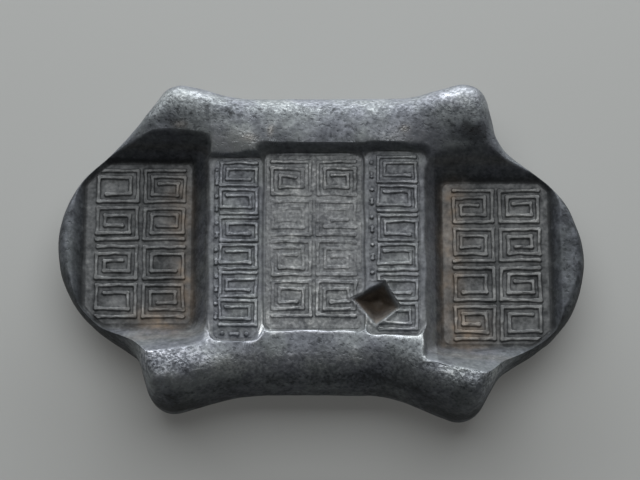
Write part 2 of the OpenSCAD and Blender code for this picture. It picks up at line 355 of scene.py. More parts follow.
def chopDepth(x, y):
    # The least of the distances inside its four sides, each times that side's slope, with rounded creases.
    reach = chop["edge"] * 2
    a, b, c, d = (inside * slope for inside, slope in zip(chopInside(x, y), chop["slopes"]))
    depth = softMin(softMin(a, b, reach), softMin(c, d, reach), reach)
    depth = np.where(depth < 0, depth * chop["outside"], depth)
    rough = chop["rough"] * cloud(flat(x, y), chop["roughSize"], 13) * ease(depth)
    return softMin(depth, chop["depth"], reach * 2) + rough


def struckZ(p, z):
    # The blank's height cut down by every die and by the punch. Also gives the depth taken off and the
    # height between the blank and the nearest wall, which is nought along the upper edges.
    px, py = p[..., 0], p[..., 1]
    plane = flat(px, py)
    x = px + strike["wander"] * cloud(plane, strike["wanderSize"], 11)
    y = py + strike["wander"] * cloud(plane, strike["wanderSize"], 12)
    reach = mix(strike["edgeReach"], strike["lipReach"], fromTo(np.abs(px), *strike["lipX"]))
    out, edge = z, np.full(z.shape, farOff)
    for die in dies.values():
        wall = dieZ(die, x, y)
        edge = np.minimum(edge, np.abs(out - wall))
        out = softMin(out, wall, reach)
    for fin in strike["fins"]:
        d, t = fromStretch(x, y, *fin)
        fall = strike["finSlope"] * d - mix(*strike["finZ"], t)
        out = np.minimum(-softMin(-out, fall, strike["finBlend"]), z)
    level = dies["centre_stamp"]["z"]
    burr = chop["burr"] * hump(chopOut(px, py) - chop["burrOff"], chop["burrWidth"])
    burr = burr * (out < level + chop["burrTop"])
    out = softMin(out + burr, level - chopDepth(px, py), chop["edge"])
    return out, z - out, edge


# Body: rungs from the outline to a spine along the middle, above and below

body = {
    "midX": 17.0,  # up to here the rungs stand square to the length
    "midRungs": 172,
    "wingRungs": 92,
    "wallMarks": (1.6, 0.9),  # width and weight of the places where rungs gather: end walls of the wings
    "wallOff": 1.0,  # middles of these walls, outside the faces
    "sideMarks": (0.5, 0.8),  # sides of the centre die
    "chopMark": (2.6, 0.3),  # punch mark
    "placeSteps": 6000,  # samples from which their places are worked out
    "spineEnd": 24.0,  # past the wings' middles the rungs fan out from here
    "sideRings": 17,
    "soleRings": 20,
    "topRings": 100,
    "fineSteps": 900,  # samples along a rung from which the rings are picked
    "rollShare": 0.16,  # part of them on the roll from the girth to the crest
    "wear": (0.9, 0.25),  # reach of the wear that rounds the profiles: ridges, rims
    "bellWidth": 1.414,  # of its bell, against the reach
    "bellSpan": 3,
    "turnWeight": 1.1,  # rings that a turn of the profile draws, against its length
    "hiddenWeight": 0.04,  # rings under a struck face, against those in view
    "hiddenIn": 0.5,
    "evenRungs": 4,  # neighbours on each side over which the rings are evened out
}
wingSteps = (np.arange(body["wingRungs"]) + 0.5) / body["wingRungs"]


def densePlaces(count, marks, low, high):  # places from low to high, closer together at the marks
    x = np.linspace(low, high, body["placeSteps"])
    density = 1 + sum(weight * hump(x - at, width) for at, width, weight in marks)
    total = np.cumsum(density)
    return np.interp((np.arange(count) + 0.5) / count, (total - total[0]) / (total[-1] - total[0]), x)


def lengthAlong(points):  # length of the path up to each of its points
    return np.concatenate([[0], np.cumsum(np.linalg.norm(np.diff(points, axis=0), axis=1))])


def halfRungs(rows, middle):
    # Points and normals of one long side from right to left: evenly along the wings, at set x between.
    s = lengthAlong(rows[:, :2])
    last = np.max(np.nonzero(rows[:, 0] > body["midX"]))
    first = np.min(np.nonzero(rows[:, 0] < -body["midX"]))
    right = resample(wingSteps * s[last], s, rows)
    left = resample(mix(s[first], s[-1], wingSteps), s, rows)
    span = rows[last:first + 1][::-1]
    rows = np.concatenate([right, resample(middle, span[:, 0], span), left])
    rows[:, 2:] /= np.linalg.norm(rows[:, 2:], axis=1, keepdims=True)
    return rows


def makeRungs():
    # Outer end, outward normal and inner end of every rung: the rear half from right to left, then the
    # front half back again.
    off = body["wallOff"]
    walls = dies["left_wing_stamp"]["x"][1] + off, dies["right_wing_stamp"]["x"][0] - off
    marks = [(x, *body["wallMarks"]) for x in walls]
    marks += [(x, *body["sideMarks"]) for x in dies["centre_stamp"]["x"]]
    marks += [(chopMiddle[0], *body["chopMark"])]
    middle = densePlaces(body["midRungs"], marks, -body["midX"], body["midX"])[::-1]
    right, left = np.argmax(beltPoints[:, 0]), np.argmin(beltPoints[:, 0])
    ring = np.roll(np.column_stack([beltPoints, beltNormals]), -right, axis=0)
    turn = (left - right) % len(ring)
    rear = halfRungs(ring[:turn + 1], middle)
    front = halfRungs(np.concatenate([ring[turn:], ring[:1]])[::-1], middle)
    spineX = np.concatenate([mix(body["spineEnd"], body["midX"], wingSteps), middle,
                             mix(-body["midX"], -body["spineEnd"], wingSteps)])
    spineY = np.concatenate([mix(plan["wingY"][0], 0, wingSteps), 0 * middle,
                             mix(0, plan["wingY"][1], wingSteps)])
    rear, front = (np.column_stack([half, spineX, spineY]) for half in (rear, front))
    rows = np.concatenate([rear, front[::-1]])
    return rows[:, :2], rows[:, 2:4], rows[:, 4:]


rungP, rungN, rungS = makeRungs()
rungCount = len(rungP)
rungX = np.abs(rungP[:, :1])
rungShare = wingShare(rungX)
girth = mix(*blank["girthZ"], rungShare)
sideShare = fromTo(np.abs(rungN[:, :1]), *blank["sideTurn"])
ridgeIn = ridgeRoll(rungX) * mix(1, np.where(rungP[:, 1:] > 0, *blank["sideRoll"]), sideShare)
crestIn = mix(ridgeIn, blank["rimRoll"], rungShare)
crestZ = crownZ(rungP - rungN * crestIn)[:, None]
print("rungs:", rungCount)


def blankTop(q):
    # From the girth (q = 0) over a quarter ellipse to the crest, then straight to the spine (q = 1) at the
    # crown's height.
    turn = np.clip(q / body["rollShare"], 0, 1) * np.pi / 2
    inner = np.clip((q - body["rollShare"]) / (1 - body["rollShare"]), 0, 1)[..., None]
    edge = rungP[:, None] - rungN[:, None] * (crestIn * (1 - np.cos(turn)))[..., None]
    p = mix(edge, rungS[:, None], inner)
    return p, np.where(inner[..., 0] > 0, crownZ(p), mix(girth, crestZ, np.sin(turn)))


def blankSole(q):
    # From the girth (q = 0) down a quarter ellipse to the sole's edge (q = 1), then to the spine (q = 2).
    turn = np.clip(1 - q, 0, 1) * np.pi / 2
    inner = np.clip(q - 1, 0, 1)[..., None]
    edge = rungP[:, None] - rungN[:, None] * (blank["soleIn"] * (1 - np.sin(turn)))[..., None]
    p = mix(edge, rungS[:, None], inner)
    s = mix(rungX, np.abs(p[..., 0]), inner[..., 0])
    return p, mix(girth, soleZ(s), np.cos(turn))


def hiddenShare(p):  # one well inside a struck face, away from the punch mark
    x, y = p[..., 0], p[..., 1]
    hidden = np.zeros(x.shape, bool)
    for die in dies.values():
        hidden |= np.maximum(outOf(x, *die["x"]), outOf(y, *die["y"])) < -body["hiddenIn"]
    return hidden & (chopOut(x, y) > body["hiddenIn"])


def wornTop():
    # The upper profiles at equal steps along each rung, every point moved to a bell-weighted mean of its
    # neighbours, as wear rounds a casting; both ends of a rung stay where they are.
    q = np.linspace(0, 1, body["fineSteps"])
    p, z = blankTop(q[None].repeat(rungCount, 0))
    curves = np.concatenate([p, z[..., None]], axis=-1)
    reaches = mix(*body["wear"], rungShare[:, 0])
    for curve, reach in zip(curves, reaches):
        s = lengthAlong(curve)
        even = resample(q * s[-1], s, curve).T
        spread = reach * len(q) / s[-1]
        k = int(body["bellSpan"] * spread)
        bell = hump(np.arange(-k, k + 1), spread * body["bellWidth"])
        before, after = 2 * even[:, :1] - even[:, k:0:-1], 2 * even[:, -1:] - even[:, -2:-k - 2:-1]
        padded = np.concatenate([before, even, after], axis=1)
        curve[:] = np.stack([np.convolve(row, bell / bell.sum(), "valid") for row in padded]).T
    return curves


def pickRings(curves):
    # Rings along each rung at equal steps of a measure: length in view plus a weight for every turn of the
    # profile, so that they gather at edges and fillets. It is evened out between neighbouring rungs.
    p = curves[..., :2]
    z = struckZ(p, curves[..., 2])[0]
    step = np.diff(np.concatenate([p, z[..., None]], axis=-1), axis=1)
    length = np.linalg.norm(step, axis=-1)
    way = step / np.maximum(length, tiny)[..., None]
    bend = np.linalg.norm(np.diff(way, axis=1, append=way[:, -1:]), axis=-1)
    seen = np.where(hiddenShare(p[:, 1:]), body["hiddenWeight"], 1.0)
    measure = length * seen + body["turnWeight"] * bend * seen
    near = body["evenRungs"]
    measure = sum(np.roll(measure, k, 0) for k in range(-near, near + 1)) / (2 * near + 1)
    total = np.cumsum(np.pad(measure, ((0, 0), (1, 0))), axis=1)
    goals = np.linspace(0, 1, body["topRings"] + 2)
    return np.stack([resample(goals, t / t[-1], curve) for t, curve in zip(total, curves)])


def makeBodyRows():
    # Rows of the closed surface: spine of the sole, sole, sides, girth, crown and the upper spine.
    side = np.linspace(0, 1, body["sideRings"] + 1)[1:]
    sole = 1 + np.linspace(0, 1, body["soleRings"] + 2)[1:]
    under = np.concatenate([side, sole])[None].repeat(rungCount, 0)
    lowP, lowZ = blankSole(under)
    over = pickRings(wornTop())
    topP = over[..., :2]
    topZ, cut, edge = struckZ(topP, over[..., 2])
    low = np.concatenate([lowP, lowZ[..., None]], axis=-1)[:, ::-1]
    top = np.concatenate([topP, topZ[..., None]], axis=-1)
    rows = np.concatenate([low, top], axis=1).swapaxes(0, 1)
    lowRows = low.shape[1]
    cut = np.concatenate([np.zeros((lowRows, rungCount)), cut.T])
    edge = np.concatenate([np.full((lowRows, rungCount), farOff), edge.T])
    return rows, cut, edge


def rowNormals(rows):
    along = np.roll(rows, -1, 1) - np.roll(rows, 1, 1)
    normal = np.cross(along, np.gradient(rows, axis=0))
    normal /= np.maximum(np.linalg.norm(normal, axis=-1, keepdims=True), tiny)
    normal[0], normal[-1] = (0, 0, -1), (0, 0, 1)
    return normal


# Skin: dents, pits, scars and a burr

skin = {
    "freeCut": 0.3,  # depth struck off at which the cast skin is gone
    "dents": ((0.10, 5.0), (0.06, 2.3), (0.026, 1.2)),  # depth and size
    "sunk": 0.1,  # the skin lies this much lower, so that no dent stands out of the blank
    "wallDents": 0.1,  # what is left of the dents on struck walls
    "pits": {"count": 170, "radius": (0.2, 0.5), "depth": 0.15},  # depth against the radius
    "solePits": {"count": 120, "radius": (0.6, 1.7), "depth": 0.26},
    "pitZ": 4.0,  # lowest pits of the top and highest of the sole
    "footZ": 0.02,  # no pits below this, where the feet are worn flat
    "pitFree": 0.9,  # least share of cast skin at a pit
    "pitSpread": 3,  # the higher, the fewer of the pits are large
    "pitBowl": 1.5,
    "pitWorn": 0.6,  # what is left of the most worn pits
    # x, y to x, y
    "scars": ((-14.3, 17.2, -13.9, 14.4), (9.9, 16.4, 9.4, 14.9), (-16.9, -16.6, -15.7, -17.9),
              (-11.9, 16.6, -11.0, 15.9), (3.0, 14.8, 4.4, 14.3), (12.6, -16.2, 14.1, -16.9)),
    "scarWidth": 0.2,
    "scarDepth": 0.12,
    "scarEnds": 0.5,  # depth at the ends, against the middle
    "scarStray": ((0.15, 0.8),),  # noise that bends them: amount, size
    "scarZ": 9.0,
    "grainAt": ((-20.0, -15.4, 4.2, 2.0), (18.4, -18.0, 4.4, 2.0)),  # coarse patches: x, y, half sizes
    "grainSize": 0.38,
    "grainDepth": 0.04,
    "grainZ": (9, 11),  # height over which it comes in
    "burrH": 0.14,
    "burrWidth": (1.0, 0.3),  # in height beside the wall: outside its edge, on the wall
    "burrCut": 0.1,  # depth struck off between the two
    "burrLeft": -14.0,  # x of its ends
    "burrRight": (12.8, 12.3),
    "burrY": (-8, -10),  # along the front edges only
    "burrZ": 8.8,
    "burrShare": 0.75,
    "burrBreaks": ((0.8, 1.3),),  # noise that breaks it up
}


def patches(x, y, spots):  # one in the middle of each spot of half sizes a and b, fading outwards
    return np.clip(sum(hump(x - cx, a) * hump(y - cy, b) for cx, cy, a, b in spots), 0, 1)


def freeShare(cut):  # one on the cast skin, nought where a die has struck
    return 1 - ease(cut / skin["freeCut"])


def makePits(points, free):
    # Depth of the pits at every point: the greatest of round bowls about points picked at random.
    z = points[:, 2]
    low = np.zeros(len(points))
    dice = np.random.default_rng(31)
    upper = np.flatnonzero((free > skin["pitFree"]) & (z > skin["pitZ"]))
    under = np.flatnonzero((z < skin["pitZ"]) & (z > skin["footZ"]))
    for places, pits in ((upper, skin["pits"]), (under, skin["solePits"])):
        for at in dice.choice(places, pits["count"], replace=False):
            r = mix(*pits["radius"], dice.random() ** skin["pitSpread"])
            bowl = np.clip(1 - np.sum((points - points[at]) ** 2, axis=1) / r**2, 0, None)
            depth = pits["depth"] * r * mix(skin["pitWorn"], 1, dice.random())
            low = np.maximum(low, depth * bowl ** skin["pitBowl"])
    return low


def roughen(rows, cut, edge):
    # Every point moves along its normal: layered noise, round pits and a few scars on the free skin, a
    # trace of the noise on the struck walls, and a raised burr along the front edges, broken up by noise.
    # Gives the move and what the colours need: dents, pits and scars, grain, and the burr, which the
    # colours also use for a painted highlight.
    points = rows.reshape(-1, 3)
    x, y, z = points.T
    free = freeShare(cut.ravel())
    dent = layers(points, skin["dents"], 21)
    low = makePits(points, free)
    stray = layers(points, skin["scarStray"], 43)
    for scar in skin["scars"]:
        d, t = fromStretch(x + stray, y + stray, *scar)
        depth = skin["scarDepth"] * mix(skin["scarEnds"], 1, np.sin(np.pi * t))
        low = np.maximum(low, depth * hump(d, skin["scarWidth"]) * (z > skin["scarZ"]))
    grain = patches(x, y, skin["grainAt"]) * free * fromTo(z, *skin["grainZ"])
    front = fromTo(y, *skin["burrY"]) * (x > skin["burrLeft"]) * fromTo(x, *skin["burrRight"])
    width = mix(*skin["burrWidth"], ease(cut.ravel() / skin["burrCut"]))
    broken = ease(skin["burrShare"] + layers(points, skin["burrBreaks"], 42))
    burr = hump(edge.ravel(), width) * front * (z > skin["burrZ"]) * broken
    move = (dent - skin["sunk"]) * mix(skin["wallDents"], 1, free) - low * free
    move += skin["grainDepth"] * grain * cloud(points, skin["grainSize"], 41) + skin["burrH"] * burr
    for fin in strike["fins"]:
        bright = hump(fromStretch(x, y, *fin)[0], strike["finBright"])
        burr = np.maximum(burr, bright * (z > strike["finFoot"]))
    return [values.reshape(cut.shape) for values in (move, dent, low, grain, burr)]


bodyRows, bodyCut, bodyEdge = makeBodyRows()
bodyMove, bodyDent, bodyPit, bodyGrain, bodyBurrAndHighlight = roughen(bodyRows, bodyCut, bodyEdge)
bodyRows = bodyRows + rowNormals(bodyRows) * bodyMove[..., None]
bodyRows = np.clip(bodyRows, bodyLow, bodyHigh)
print("body rows:", bodyRows.shape)

# Tarnish and painted light: tones from 0 for black tarnish to 1 for worn bright metal, some of them
# painted highlights and painted shade

tarnishAndPaintedLight = {
    "plain": 0.57,
    "dents": 0.5,  # lighter swells and darker dents, per millimetre
    "pits": 1.6,  # darker pits, per millimetre down to the depth that follows
    "pitLimit": 0.1,
    # burr: rubbed metal along the raised front edges, with a painted highlight where they face the light
    "burr": 0.42,
    "grain": 0.05,
    "rims": -0.13,  # wings' rims
    "walls": (0.03, -0.11),  # struck walls: between the ridges, in the wings
    "blockX": 14.2,  # where the wings' walls begin
    "rearInnerHighlight": 0.1,  # painted highlight on the inner side of the rear ridge
    "rearInnerHighlightY": (17.5, 14.5),
    "rearEnd": 8.0,  # y where it ends
    "bands": ((0.08, 18.6, 0.8), (-0.13, 16.4, 1.2), (0.13, -15.2, 1.7)),  # painted highlights and painted shade along the ridges: amount, y, reach
    "below": -0.18,  # painted shade on the lower sides
    "belowZ": (8.5, 6.5),
    "frontShade": -0.22,  # painted shade on the outer side of the front ridge, at the waist
    "frontShadeZ": (9.4, 1.4),
    "frontShadeX": (16, 12),
    "frontShadeY": -14.0,
    "topZ": 5.0,  # what lies on the top only is above this
    # painted highlights and painted shade on the ridges: amount, x, y, half sizes
    "spots": (
        (-0.28, -19.2, -16.2, 4.0, 1.4), (0.18, -18.4, -17.9, 3.4, 0.9), (-0.3, -17.5, -20.2, 3.6, 1.1),
        (-0.2, 15.8, -21.0, 4.0, 2.2), (-0.16, 18.0, -18.6, 3.2, 0.9), (0.44, -11.2, 12.4, 3.2, 1.5),
        (0.28, 10.4, 13.0, 2.8, 1.5), (-0.6, 19.0, 13.8, 2.8, 1.5), (-0.36, -17.6, 15.0, 2.8, 1.1),
        (0.16, 17.5, 18.4, 2.4, 1.2), (-0.2, 9.3, -15.0, 3.2, 1.8), (-0.14, 10.8, -14.5, 2.2, 1.6),
        (-0.12, 9.0, -17.5, 4.0, 1.5), (0.16, -11.0, -16.3, 4.0, 1.2), (-0.18, -11.0, -13.2, 3.5, 1.1)),
    "chop": (-0.06, -0.28),  # punch mark: front flanks, rear flanks; the rear flanks' darkness is painted shade
    "chopEdge": 0.3,
    "chopShadeY": (-1.6, 0.4),  # from its middle, between the two
    "chopWarm": 0.5,
    "rubbedAt": ((-8.9, 13.1, 0.9, 0.4), (-17.5, 14.6, 0.8, 0.4),  # x, y, half sizes
                 (-6.3, 14.0, 0.4, 0.6), (10.4, 14.2, 0.5, 0.4)),
    "rubbedWarm": 0.3,
    "rubbedCool": 0.8,  # what it takes off the bloom
    "wornBands": ((0.55, 17.3, 1.9), (0.6, -16.1, 1.8)),  # scuffed crests: amount, y, reach
    "wornGrain": 0.8,
    "wornBurr": 0.5,
    "floorReach": 0.5,  # height above the floors where they end
    "floorCool": (0.55, 0.05),  # bloom on the floors: between the ridges, in the wings
}
stains = {
    "spots": ((-17.6, 5.5, 1.6, 3.2), (-17.2, -4.5, 1.7, 5.0), (-20.5, -9.5, 3.0, 2.0),  # x, y, half sizes
              (16.2, -2.0, 1.7, 7.0), (17.5, -10.5, 3.0, 2.6), (16.5, 6.5, 1.6, 2.2)),
    "share": 0.45,
    "breaks": ((0.7, 1.7), (0.5, 0.7)),  # noise that breaks them up: amount, size
    "least": 0.35,
    "tone": 0.08,  # lighter: on the walls, on the struck faces
    "faceTone": 0.12,
}


def stainShare(x, y):  # warm stains in the inner part of both wings' troughs, broken up by noise
    broken = ease(stains["share"] + layers(flat(x, y), stains["breaks"], 81))
    return patches(x, y, stains["spots"]) * mix(stains["least"], 1, broken)


def ridgeBands(y, bands):  # amounts along lines of the same y, fading on both sides
    return sum(amount * hump(y - at, reach) for amount, at, reach in bands)


def bodyTraits():
    # tone: tarnish, wear, painted highlights and painted shade; warm: brown stain; cool: bluish bloom,
    # everywhere but on the struck floors; skin: rough cast surface; worn: scuffed back to granular bright
    # metal.
    x, y, z = bodyRows[..., 0], bodyRows[..., 1], bodyRows[..., 2]
    free = freeShare(bodyCut)
    wings = wingShare(np.abs(x))
    onBlock = np.abs(x) < tarnishAndPaintedLight["blockX"]
    onTop = z > tarnishAndPaintedLight["topZ"]
    ridge = (1 - wings) * free
    pits = tarnishAndPaintedLight["pits"] * np.minimum(bodyPit, tarnishAndPaintedLight["pitLimit"])
    tone = tarnishAndPaintedLight["plain"] + (tarnishAndPaintedLight["dents"] * bodyDent - pits + tarnishAndPaintedLight["rims"] * wings) * free
    # the burr's rubbed metal, with a painted highlight along the front edges
    tone = tone + tarnishAndPaintedLight["burr"] * bodyBurrAndHighlight + tarnishAndPaintedLight["grain"] * bodyGrain
    tone = tone + np.where(onBlock, *tarnishAndPaintedLight["walls"]) * (1 - free)
    # painted highlight on the inner side of the rear ridge
    rearInnerHighlight = fromTo(y, *tarnishAndPaintedLight["rearInnerHighlightY"]) * (y > tarnishAndPaintedLight["rearEnd"])
    # painted highlights and painted shade in bands along the ridges
    tone = tone + (tarnishAndPaintedLight["rearInnerHighlight"] * rearInnerHighlight + ridgeBands(y, tarnishAndPaintedLight["bands"])) * ridge
    # painted shade on the lower sides
    tone = tone + tarnishAndPaintedLight["below"] * fromTo(z, *tarnishAndPaintedLight["belowZ"])
    # painted shade on the outer side of the front ridge, at the waist
    at, reach = tarnishAndPaintedLight["frontShadeZ"]
    frontShade = hump(z - at, reach) * fromTo(np.abs(x), *tarnishAndPaintedLight["frontShadeX"]) * (y < tarnishAndPaintedLight["frontShadeY"])
    tone = tone + tarnishAndPaintedLight["frontShade"] * frontShade
    # painted highlights and painted shade on the ridges
    for amount, *spot in tarnishAndPaintedLight["spots"]:
        tone = tone + amount * patches(x, y, (spot,)) * ridge * onTop
    stain = stainShare(x, y) * onTop
    inChop = ease(-chopOut(x, y) / tarnishAndPaintedLight["chopEdge"]) * onTop
    tone = tone + stains["tone"] * stain
    # painted shade on the punch mark's rear flanks
    tone = tone + mix(*tarnishAndPaintedLight["chop"], fromTo(y - chopMiddle[1], *tarnishAndPaintedLight["chopShadeY"])) * inChop
    rubbed = patches(x, y, tarnishAndPaintedLight["rubbedAt"]) * free * onTop
    worn = tarnishAndPaintedLight["wornGrain"] * bodyGrain + tarnishAndPaintedLight["wornBurr"] * bodyBurrAndHighlight
    worn = np.clip(worn + rubbed + ridgeBands(y, tarnishAndPaintedLight["wornBands"]) * ridge, 0, 1)
    floors = np.max([hump(z - die["z"], tarnishAndPaintedLight["floorReach"]) for die in dies.values()], axis=0)
    floors = floors * (1 - free)
    cool = mix(1, np.where(onBlock, *tarnishAndPaintedLight["floorCool"]), floors)
    cool = cool * (1 - tarnishAndPaintedLight["rubbedCool"] * rubbed) * (1 - inChop)
    warm = np.clip(stain + tarnishAndPaintedLight["rubbedWarm"] * rubbed + tarnishAndPaintedLight["chopWarm"] * inChop, 0, 1)
    return {"tone": tone, "warm": warm, "cool": cool, "skin": free, "worn": worn}


# Meshes

def addPiece(name, points, groups, smoothGroups, traits, material, node):
    # groups are index arrays of shape (faces, corners), the first ones smooth and the rest flat, so that a
    # skirt doesn't bend the shading of what it hangs from; traits are one number per point.
    mesh = bpy.data.meshes.new(name)
    counts = np.concatenate([np.full(len(g), g.shape[1]) for g in groups])
    smoothCount = sum(len(g) for g in groups[:smoothGroups])
    loops = np.concatenate([g.ravel() for g in groups])
    mesh.vertices.add(len(points))
    mesh.vertices.foreach_set("co", (points * mm).astype(np.float32).ravel())
    mesh.loops.add(len(loops))
    mesh.loops.foreach_set("vertex_index", loops.astype(np.int32))
    mesh.polygons.add(len(counts))
    mesh.polygons.foreach_set("loop_start", (np.cumsum(counts) - counts).astype(np.int32))
    mesh.polygons.foreach_set("use_smooth", np.arange(len(counts)) < smoothCount)
    for trait, values in traits.items():
        layer = mesh.attributes.new(trait, "FLOAT", "POINT")
        layer.data.foreach_set("value", np.asarray(values, np.float32).ravel())
    mesh.update(calc_edges=True)
    mesh.validate()
    piece = bpy.data.objects.new(name, mesh)
    bpy.context.scene.collection.objects.link(piece)
    mesh.materials.append(material)
    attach(piece, "root")
    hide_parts(node)
    print(name, len(points), "points", sum(len(g) * (g.shape[1] - 2) for g in groups), "triangles")


def bodyFaces(rowCount):
    # Rings are joined row to row; the two outer rows close along the spines, where the rear and front
    # halves share their points.
    half = rungCount // 2
    ring = np.arange(rungCount)
    after = np.roll(ring, -1)
    spineOf = np.where(ring < half, ring, rungCount - 1 - ring)
    start = (np.arange(rowCount - 3) * rungCount)[:, None]
    above = start + rungCount
    quads = [np.stack([start + ring, start + after, above + after, above + ring], -1)]
    lowSpine = (rowCount - 2) * rungCount + spineOf
    topSpine = lowSpine + half
    last = (rowCount - 3) * rungCount
    apart = spineOf != spineOf[after]
    quads.append(np.stack([lowSpine, lowSpine[after], after, ring], -1)[apart])
    quads.append(np.stack([last + ring, last + after, topSpine[after], topSpine], -1)[apart])
    ends = np.flatnonzero(~apart)
    tris = [np.stack([lowSpine[ends], after[ends], ends], -1),
            np.stack([last + ends, last + after[ends], topSpine[ends]], -1)]
    return [np.concatenate([q.reshape(-1, 4) for q in quads]), np.concatenate(tris)]


def inRows(values):  # the inner rows in full, then each spine once
    half = rungCount // 2
    inner = values[1:-1].reshape(-1, *values.shape[2:])
    return np.concatenate([inner, values[0, :half], values[-1, :half]])


# Struck faces: plates with a square-spiral fret, standing for the five dies' faces

fret = {
    "step": 0.062,  # grid of the plates
    "inset": 0.14,
    "sideInset": 0.05,  # beside a column, where the floor runs on level
    "notchGap": 0.18,  # round the punch mark
    "lift": 0.01,
    "border": -0.03,  # height of the border, which sinks into the body
    "fade": 0.2,  # width over which it rises to the face
    "skirt": 0.2,
    "rise": 0.34,  # height of the strokes
    "bevel": 0.1,
    "room": 0.3,  # least room for another leg of a spiral, against the pitch
    "pitchStray": (0.94, 1.06),
    "dash": 0.4,  # length of every other dot
    "swell": (0.86, 0.3),  # width of a stroke in its middle, and what its ends add
    "ragged": ((0.16, 0.9), (0.1, 0.4)),  # noise of the strokes' edges: amount, size
    "warp": 0.07,
    "warpSize": 1.3,
    "wearShare": 0.5,
    "wear": ((0.75, 3.4), (0.3, 1.1)),
    "chipShare": 0.35,
    "chips": ((0.8, 0.7),),
    "chipDepth": 0.35,
    "waves": ((0.02, 2.4),),
    "grain": ((0.022, 0.8), (0.016, 0.36)),
    "waveTone": 2.0,  # lighter per millimetre
    "strokeTone": 0.13,
    "footTone": -0.12,  # along the feet of the strokes
    "footReach": 0.22,
}


def squareSpiral(w, h, pitch):
    # A square spiral drawn inwards in a w by h box: each leg takes what room is left, less one pitch.
    low, high = np.array([-w / 2, -h / 2]), np.array([w / 2, h / 2])
    points = [(low[0], low[1])]
    while min(high - low) > fret["room"] * pitch:
        turn = (len(points) - 1) % 4
        points.append([(high[0], low[1]), (high[0], high[1]), (low[0], high[1]), (low[0], low[1])][turn])
        low += [(0, pitch), (0, 0), (0, 0), (pitch, 0)][turn]
        high -= [(0, 0), (pitch, 0), (0, pitch), (0, 0)][turn]
    return np.array(points)


def fretStrokes(look):
    # Strokes as rows of x, y to x, y. Every cell holds one square spiral; it winds the other way in the
    # next column and the next row, so that neighbours make pairs. Hand-cut: each corner strays a little.
    dice = np.random.default_rng(look["seed"])
    x0, x1, y0, y1 = look["field"]
    columns, rows = look["cells"]
    w, h = (x1 - x0) / columns, (y1 - y0) / rows
    strokes = []
    for i, j in np.ndindex(columns, rows):
        middle = np.array([x0 + (i + 0.5) * w, y0 + (j + 0.5) * h])
        pitch = look["pitch"] * dice.uniform(*fret["pitchStray"])
        path = squareSpiral(w - look["gap"], h - look["gap"], pitch)
        path = path * ((-1) ** i * (-1) ** (j * (columns == 1)), (-1) ** j)
        path = path + middle + dice.uniform(-1, 1, path.shape) * look["stray"]
        strokes.append(np.concatenate([path[:-1], path[1:]], axis=1))
    return np.concatenate(strokes + [np.array(look.get("dots", np.zeros((0, 4))))])


def dotRow(x0, x1, rear, front, step):  # strokes along one side of a face, a dot and a dash by turns
    return [(x0, y, x1, y + fret["dash"] * (k % 2)) for k, y in enumerate(np.arange(rear, front, -step))]


def strokeGap(x, y, look):
    # Distance outside the edge of the nearest stroke, below nought on it. Strokes swell towards both ends,
    # as a graver leaves them, and their edges are ragged.
    slim, swell = fret["swell"]
    halfWidth = look["width"] / 2 * (1 + layers(flat(x, y), fret["ragged"], 63))
    gap = np.full(x.shape, farOff)
    for stroke in fretStrokes(look):
        d, t = fromStretch(x, y, *stroke)
        gap = np.minimum(gap, d - halfWidth * (slim + swell * (2 * t - 1) ** 4))
    return gap


wideFret = {"cells": (2, 4), "pitch": 0.92, "gap": 0.95, "stray": 0.07}
narrowFret = {"cells": (1, 6), "pitch": 0.8, "gap": 0.6, "stray": 0.06, "width": 0.42}
panels = {
    # field: left, right, front, rear; width of the strokes; how worn they are; then the face's own finish
    "left_wing_stamp": {
        **wideFret, "field": (-28.4, -16.7, -9.1, 11.0), "width": 0.46, "worn": 0.3,
        "grain": 0.6, "cool": 0.1, "tone": 0.45, "scuff": 0.05, "seed": 51},
    "right_wing_stamp": {
        **wideFret, "field": (16.2, 27.7, -12.0, 8.3), "width": 0.47, "worn": 0.2,
        "grain": 0.7, "cool": 0.0, "tone": 0.47, "scuff": 0.1, "seed": 52},
    "centre_stamp": {
        **wideFret, "field": (-6.5, 4.7, -9.7, 11.3), "width": 0.46, "worn": 0.7,
        "grain": 1.4, "cool": 0.3, "tone": 0.57, "scuff": 0.35, "seed": 53,
        "bare": {"y": 1.2, "reach": (2.5, 6.5), "left": 0.35}},  # band where the strokes are worn low
    "left_column_stamp": {
        **narrowFret, "field": (-12.75, -7.75, -10.8, 10.9), "worn": 0.35,
        "grain": 1.0, "cool": 0.8, "tone": 0.56, "scuff": 0.3, "seed": 54,
        "dots": dotRow(-12.98, -12.95, 9.6, -10, 1.75) + [
            (-12.1, -11.6, -12.1, -11.6), (-9.2, -11.7, -9.2, -11.7), (-11.0, -11.7, -10.3, -11.7)]},
    "right_column_stamp": {
        **narrowFret, "field": (6.85, 12.1, -11.4, 11.6), "worn": 0.4,
        "grain": 1.0, "cool": 0.6, "tone": 0.56, "scuff": 0.3, "seed": 55,
        "dots": dotRow(6.35, 6.35, 10.6, -4, 1.8)},
}


def chopSide(y, side):  # x of the punch mark's left (-1) or right (1) flank at each y, or none
    arms = chopCorners - chopMiddle
    arms = arms / np.linalg.norm(arms, axis=1, keepdims=True)
    right, high, left, low = chopCorners + fret["notchGap"] * arms
    out = right if side > 0 else left
    x = np.interp(y, [low[1], out[1], high[1]], [low[0], out[0], high[0]])
    return np.where((y > low[1]) & (y < high[1]), x, -side * farOff)


